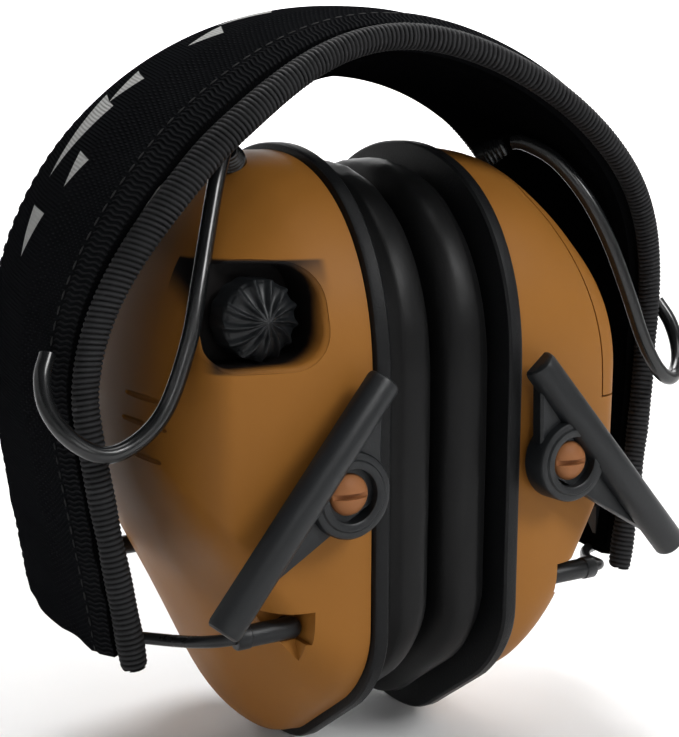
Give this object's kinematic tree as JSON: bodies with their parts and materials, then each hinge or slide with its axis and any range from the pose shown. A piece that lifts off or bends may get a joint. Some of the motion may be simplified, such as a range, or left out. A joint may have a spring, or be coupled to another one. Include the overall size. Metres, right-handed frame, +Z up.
{
  "type": "earmuff hearing protector",
  "caption": "Folding electronic ear defenders: padded sprung headband, sliding wire yokes, cushioned ear cups with microphones, volume knob and battery door, shown folded.",
  "frame": {"origin": "middle of the headband's inner face at the crown, where the head touches it", "axes": "+Z up through the crown, -Y the way the wearer looks, -X the wearer's right"},
  "size_m": [0.1426, 0.0867, 0.1442],
  "materials": {
    "band_fabric": "matte woven",
    "piping_fabric": "matte ribbed",
    "steel": "satin",
    "black_plastic": "satin",
    "black_wire": "satin",
    "cable": "semi-gloss",
    "tan_plastic": "satin soft-touch",
    "vinyl": "smooth satin",
    "foam": "matte",
    "board": "matte",
    "cell_can": "satin"
  },
  "bodies": {
    "crown": {"crown_outer_pad": "band_fabric", "crown_inner_pad": "band_fabric", "crown_spring_strip": "steel", "crown_front_piping": "piping_fabric", "crown_rear_piping": "piping_fabric"},
    "right_band_half": {"right_band_outer_pad": "band_fabric", "right_band_inner_pad": "band_fabric", "right_band_spring_strip": "steel", "right_band_front_piping": "piping_fabric", "right_band_rear_piping": "piping_fabric", "right_band_end_guide": "black_plastic", "right_cable": "cable"},
    "right_yoke": {"right_yoke_wire": "black_wire", "right_front_sleeve": "black_plastic", "right_rear_sleeve": "black_plastic"},
    "right_cup": {"right_cup_shell": "tan_plastic", "right_rim_plate": "black_plastic", "right_ear_cushion": "vinyl", "right_foam_liner": "foam", "right_speaker": "black_plastic", "right_circuit_board": "board", "right_mic_guard": "black_plastic", "right_mic_cap": "tan_plastic", "right_mic_capsule": "steel", "right_cable_relief": "cable", "aux_jack": "black_plastic", "volume_potentiometer": "steel"},
    "left_band_half": {"left_band_outer_pad": "band_fabric", "left_band_inner_pad": "band_fabric", "left_band_spring_strip": "steel", "left_band_front_piping": "piping_fabric", "left_band_rear_piping": "piping_fabric", "left_band_end_guide": "black_plastic", "left_cable": "cable"},
    "left_yoke": {"left_yoke_wire": "black_wire", "left_front_sleeve": "black_plastic", "left_rear_sleeve": "black_plastic"},
    "left_cup": {"left_cup_shell": "tan_plastic", "left_rim_plate": "black_plastic", "left_ear_cushion": "vinyl", "left_foam_liner": "foam", "left_speaker": "black_plastic", "left_circuit_board": "board", "left_mic_guard": "black_plastic", "left_mic_cap": "tan_plastic", "left_mic_capsule": "steel", "left_cable_relief": "cable", "battery_tray": "black_plastic", "battery_cell_front": "cell_can", "battery_cell_rear": "cell_can", "battery_top_contact": "steel", "battery_bottom_contact": "steel"},
    "knob": {"volume_knob": "black_plastic"},
    "door": {"battery_door": "tan_plastic"}
  },
  "joints": [
    {"name": "right_band_flex", "type": "hinge", "parent": "crown", "child": "right_band_half", "pos_m": [-0.01335, 0, 0.01185], "axis": [0, 1, 0], "range_deg": [0, 30], "stiffness_Nm_per_rad": 5},
    {"name": "right_yoke_slide", "type": "slide", "parent": "right_band_half", "child": "right_yoke", "axis": [0, 0, -1], "range_m": [0, 0.02], "deforming": ["right_cable"]},
    {"name": "right_cup_tilt", "type": "hinge", "parent": "right_yoke", "child": "right_cup", "pos_m": [-0.0296, 0, -0.0976], "axis": [0, -1, 0], "range_deg": [0, 3]},
    {"name": "left_band_flex", "type": "hinge", "parent": "crown", "child": "left_band_half", "pos_m": [0.01335, 0, 0.01185], "axis": [0, -1, 0], "range_deg": [0, 30], "stiffness_Nm_per_rad": 5},
    {"name": "left_yoke_slide", "type": "slide", "parent": "left_band_half", "child": "left_yoke", "axis": [0, 0, -1], "range_m": [0, 0.02], "deforming": ["left_cable"]},
    {"name": "left_cup_tilt", "type": "hinge", "parent": "left_yoke", "child": "left_cup", "pos_m": [0.0296, 0, -0.0976], "axis": [0, 1, 0], "range_deg": [0, 3]},
    {"name": "volume_turn", "type": "hinge", "parent": "right_cup", "child": "knob", "pos_m": [-0.034, -0.028, -0.042], "axis": [0, -1, 0], "range_deg": [0, 270]},
    {"name": "battery_door_hinge", "type": "hinge", "parent": "left_cup", "child": "door", "pos_m": [0.0286, 0, -0.0178], "axis": [0, -1, 0], "range_deg": [0, 3]}
  ]
}
